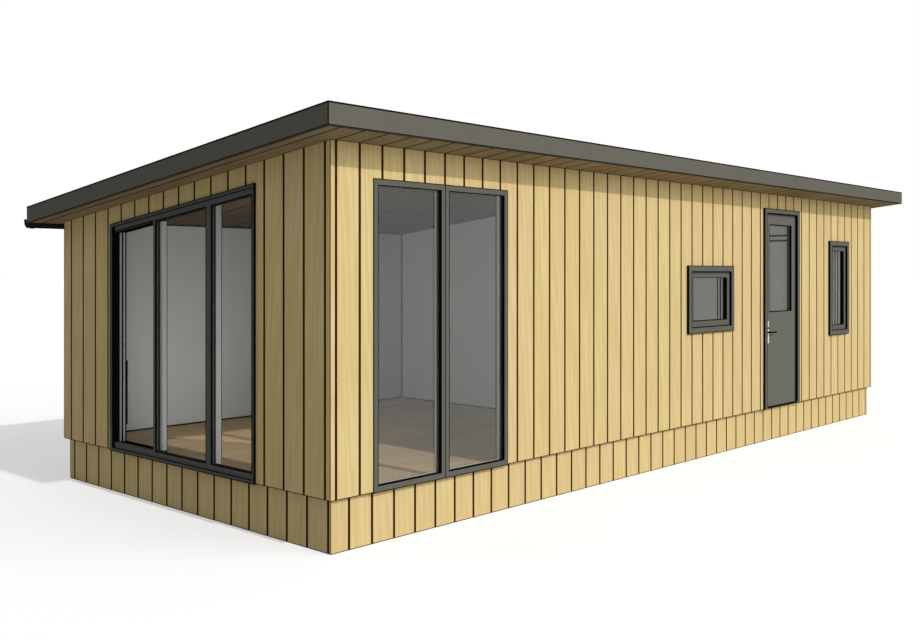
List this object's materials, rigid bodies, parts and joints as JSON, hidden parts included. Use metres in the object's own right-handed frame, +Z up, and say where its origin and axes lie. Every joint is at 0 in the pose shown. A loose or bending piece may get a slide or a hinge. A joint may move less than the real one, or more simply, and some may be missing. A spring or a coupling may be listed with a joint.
{
  "type": "single-storey timber chalet",
  "caption": "Boarded chalet with a shallow lean-to roof, set-back plinth, rear gutter and downpipe, cased windows, a half-glazed hinged door and a raked glazed sliding door.",
  "frame": {"origin": "ground level under the middle of the overall box", "axes": "+X along the long front wall away from the end with the sliding door, +Y from the front wall to the back wall, +Z up"},
  "size_m": [11.276, 4.667, 3.266],
  "materials": {
    "wall_boards": "pale boards, oiled",
    "base_timber": "rough sawn",
    "floor_boards": "satin varnish",
    "inner_wall": "matt paint",
    "soffit_boards": "stained boards",
    "roof_core": "insulated panel",
    "roof_covering": "matt sheet",
    "fascia": "matt dark grey",
    "gutter_metal": "satin dark grey",
    "frames": "matt grey",
    "glass": "clear",
    "bright_metal": "satin",
    "dark_metal": "satin black",
    "roller_plastic": "matt"
  },
  "bodies": {
    "house": {"plinth_front": "wall_boards", "plinth_back": "wall_boards", "plinth_left": "wall_boards", "plinth_right": "wall_boards", "front_wall": "wall_boards", "front_wall_over_door": "wall_boards", "front_wall_far": "wall_boards", "back_wall": "wall_boards", "left_wall_front": "wall_boards", "left_wall_back": "wall_boards", "left_wall_over_door": "wall_boards", "right_wall": "wall_boards", "bearers": "base_timber", "floor_joists": "base_timber", "floor_deck": "floor_boards", "partition": "inner_wall", "opening_linings": "inner_wall", "ceiling_boards": "soffit_boards", "roof_panel": "roof_core", "roof_covering": "roof_covering", "fascia_front": "fascia", "fascia_back": "fascia", "fascia_left": "fascia", "fascia_right": "fascia", "gutter": "gutter_metal", "gutter_brackets": "gutter_metal", "downpipe": "gutter_metal", "downpipe_clips": "gutter_metal", "long_window_frames": "frames", "window_casings": "frames", "window_sashes": "frames", "front_door_frame": "frames", "end_door_frame": "frames", "end_door_fixed_panels": "frames", "window_panes": "glass", "end_door_fixed_panes": "glass", "front_door_frame_hinges": "bright_metal", "front_door_threshold": "dark_metal", "end_door_track": "dark_metal"},
    "front_door": {"front_door_leaf": "frames", "front_door_pane": "glass", "front_door_plates": "bright_metal", "front_door_leaf_hinges": "bright_metal"},
    "door_lever": {"front_door_lever": "dark_metal"},
    "sliding_door": {"sliding_leaf": "frames", "sliding_pane": "glass", "sliding_pull": "dark_metal", "sliding_rollers": "roller_plastic"}
  },
  "joints": [
    {"name": "front_door_swing", "type": "hinge", "parent": "house", "child": "front_door", "pos_m": [2.715, -1.9445, 1.605], "axis": [0, 0, -1], "range_deg": [0, 90]},
    {"name": "lever_turn", "type": "hinge", "parent": "front_door", "child": "door_lever", "pos_m": [1.8935, -1.9805, 1.349], "axis": [0, 1, 0], "range_deg": [0, 40], "stiffness_Nm_per_rad": 2, "springref_deg": -20.05},
    {"name": "end_door_slide", "type": "slide", "parent": "house", "child": "sliding_door", "axis": [0, -1, 0], "range_m": [0, 0.66]}
  ]
}
